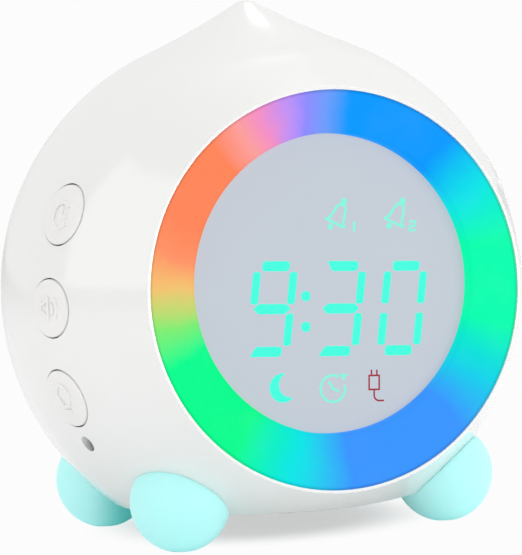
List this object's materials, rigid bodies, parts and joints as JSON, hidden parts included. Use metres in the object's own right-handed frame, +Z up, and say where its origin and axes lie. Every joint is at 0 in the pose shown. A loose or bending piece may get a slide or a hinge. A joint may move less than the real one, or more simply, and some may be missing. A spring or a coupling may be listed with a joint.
{
  "type": "kids alarm clock with night light",
  "caption": "Round white alarm clock with a pointed top, colour-changing light ring round a recessed digital screen, push buttons on both sides and four round mint feet.",
  "frame": {"origin": "on the table, under the middle of the outer box", "axes": "+Z up, the screen looks along -Y and a little up, +X to the right of someone facing the screen"},
  "size_m": [0.11, 0.0974, 0.1107],
  "materials": {
    "white_shell": "glossy warm white moulded plastic, fine texture inside",
    "ring_milk": "milky translucent plastic, lit from behind by coloured lights",
    "inner_white": "matt white plastic",
    "panel_grey": "satin pale blue-grey panel",
    "mint_guide": "mint light guide, lit",
    "red_guide": "red light guide, lit",
    "dark_guide": "clear light guide, unlit",
    "foot_mint": "satin mint silicone",
    "button_white": "glossy white plastic",
    "switch_black": "matt black plastic",
    "plunger_grey": "matt grey plastic",
    "board_green": "green solder mask",
    "chip_black": "matt black epoxy",
    "led_white": "white light package with a yellow lens",
    "socket_cream": "cream nylon",
    "screw_steel": "zinc-plated steel",
    "speaker_steel": "pressed steel",
    "cone_paper": "black paper cone",
    "magnet_black": "dark coated magnet and plate",
    "foam_black": "soft black foam",
    "port_steel": "nickel-plated steel",
    "cell_foil": "dull laminated foil",
    "copper": "thin copper foil",
    "lead_grey": "grey lead sheath",
    "ribbon_white": "white flat ribbon"
  },
  "bodies": {
    "clock": {"front_shell": "white_shell", "rear_shell": "white_shell", "shell_screws": "screw_steel", "foot_screws": "screw_steel", "ring_diffuser": "ring_milk", "light_carrier": "inner_white", "carrier_screws": "screw_steel", "ring_light_board": "board_green", "ring_leds": "led_white", "main_circuit_board": "board_green", "board_screws": "screw_steel", "screen_panel": "panel_grey", "screen_housing": "inner_white", "digit_guides": "mint_guide", "dark_guides": "dark_guide", "icon_guides": "mint_guide", "plug_guide": "red_guide", "screen_leds": "led_white", "board_chips": "chip_black", "board_sockets": "socket_cream", "lead_plugs": "socket_cream", "side_screws": "screw_steel", "push_switches": "switch_black", "side_ribbons": "ribbon_white", "speaker_frame": "speaker_steel", "speaker_cone": "cone_paper", "speaker_magnet": "magnet_black", "speaker_gasket": "foam_black", "speaker_screws": "screw_steel", "speaker_lead": "lead_grey", "charge_socket": "port_steel", "socket_tongue": "switch_black", "charge_board": "board_green", "charge_lead": "lead_grey", "battery_cell": "cell_foil", "battery_pad": "foam_black", "battery_guard_board": "board_green", "battery_lead": "lead_grey", "touch_electrode": "copper", "touch_lead": "lead_grey", "left_circuit_board": "board_green", "right_circuit_board": "board_green", "front_left_foot": "foot_mint", "front_right_foot": "foot_mint", "rear_left_foot": "foot_mint", "rear_right_foot": "foot_mint"},
    "clock_key": {"clock_button": "button_white", "clock_plunger": "plunger_grey"},
    "sound_key": {"sound_button": "button_white", "sound_plunger": "plunger_grey"},
    "lamp_key": {"lamp_button": "button_white", "lamp_plunger": "plunger_grey"},
    "plus_key": {"plus_button": "button_white", "plus_plunger": "plunger_grey"},
    "alarm_key": {"alarm_button": "button_white", "alarm_plunger": "plunger_grey"},
    "minus_key": {"minus_button": "button_white", "minus_plunger": "plunger_grey"},
    "reset_key": {"reset_button": "plunger_grey"}
  },
  "joints": [
    {"name": "clock_press", "type": "slide", "parent": "clock", "child": "clock_key", "axis": [0.9563, 0.2924, 0], "range_m": [0, 0.0005], "stiffness_N_per_m": 2500},
    {"name": "sound_press", "type": "slide", "parent": "clock", "child": "sound_key", "axis": [0.9563, 0.2924, 0], "range_m": [0, 0.0005], "stiffness_N_per_m": 2500},
    {"name": "lamp_press", "type": "slide", "parent": "clock", "child": "lamp_key", "axis": [0.9563, 0.2924, 0], "range_m": [0, 0.0005], "stiffness_N_per_m": 2500},
    {"name": "plus_press", "type": "slide", "parent": "clock", "child": "plus_key", "axis": [-0.9563, 0.2924, 0], "range_m": [0, 0.0005], "stiffness_N_per_m": 2500},
    {"name": "alarm_press", "type": "slide", "parent": "clock", "child": "alarm_key", "axis": [-0.9563, 0.2924, 0], "range_m": [0, 0.0005], "stiffness_N_per_m": 2500},
    {"name": "minus_press", "type": "slide", "parent": "clock", "child": "minus_key", "axis": [-0.9563, 0.2924, 0], "range_m": [0, 0.0005], "stiffness_N_per_m": 2500},
    {"name": "reset_press", "type": "slide", "parent": "clock", "child": "reset_key", "axis": [0.9563, 0.2924, 0], "range_m": [0, 0.0004], "stiffness_N_per_m": 2500}
  ]
}
